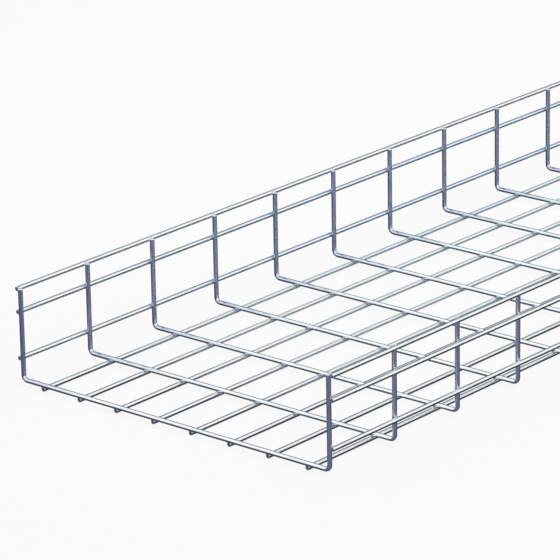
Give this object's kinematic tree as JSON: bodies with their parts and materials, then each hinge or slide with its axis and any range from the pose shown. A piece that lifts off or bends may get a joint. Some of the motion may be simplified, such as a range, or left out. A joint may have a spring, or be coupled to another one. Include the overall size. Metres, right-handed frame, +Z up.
{
  "type": "wire mesh cable basket",
  "caption": "Welded steel wire tray for cables: U-bent cross wires with lengthwise wires spot welded under the base and outside the walls, a top wire along each edge.",
  "frame": {"origin": "under the middle of the length, on the plane that the base wires rest on", "axes": "+Z up, Y along the tray, X from the left wall to the right wall"},
  "size_m": [0.4186, 3.005, 0.1067],
  "materials": {
    "zinc_plated_wire": "bright zinc plated drawn steel wire, smooth, with a faint blue cast"
  },
  "bodies": {
    "root": {"cross_wire_01": "zinc_plated_wire", "cross_wire_02": "zinc_plated_wire", "cross_wire_03": "zinc_plated_wire", "cross_wire_04": "zinc_plated_wire", "cross_wire_05": "zinc_plated_wire", "cross_wire_06": "zinc_plated_wire", "cross_wire_07": "zinc_plated_wire", "cross_wire_08": "zinc_plated_wire", "cross_wire_09": "zinc_plated_wire", "cross_wire_10": "zinc_plated_wire", "cross_wire_11": "zinc_plated_wire", "cross_wire_12": "zinc_plated_wire", "cross_wire_13": "zinc_plated_wire", "cross_wire_14": "zinc_plated_wire", "cross_wire_15": "zinc_plated_wire", "cross_wire_16": "zinc_plated_wire", "cross_wire_17": "zinc_plated_wire", "cross_wire_18": "zinc_plated_wire", "cross_wire_19": "zinc_plated_wire", "cross_wire_20": "zinc_plated_wire", "cross_wire_21": "zinc_plated_wire", "cross_wire_22": "zinc_plated_wire", "cross_wire_23": "zinc_plated_wire", "cross_wire_24": "zinc_plated_wire", "cross_wire_25": "zinc_plated_wire", "cross_wire_26": "zinc_plated_wire", "cross_wire_27": "zinc_plated_wire", "cross_wire_28": "zinc_plated_wire", "cross_wire_29": "zinc_plated_wire", "cross_wire_30": "zinc_plated_wire", "cross_wire_31": "zinc_plated_wire", "base_wire_1": "zinc_plated_wire", "base_wire_2": "zinc_plated_wire", "base_wire_3": "zinc_plated_wire", "base_wire_4": "zinc_plated_wire", "base_wire_5": "zinc_plated_wire", "base_wire_6": "zinc_plated_wire", "base_wire_7": "zinc_plated_wire", "base_wire_8": "zinc_plated_wire", "side_wire_left_1": "zinc_plated_wire", "side_wire_left_2": "zinc_plated_wire", "side_wire_right_1": "zinc_plated_wire", "side_wire_right_2": "zinc_plated_wire", "top_wire_left": "zinc_plated_wire", "top_wire_right": "zinc_plated_wire"}
  },
  "joints": []
}
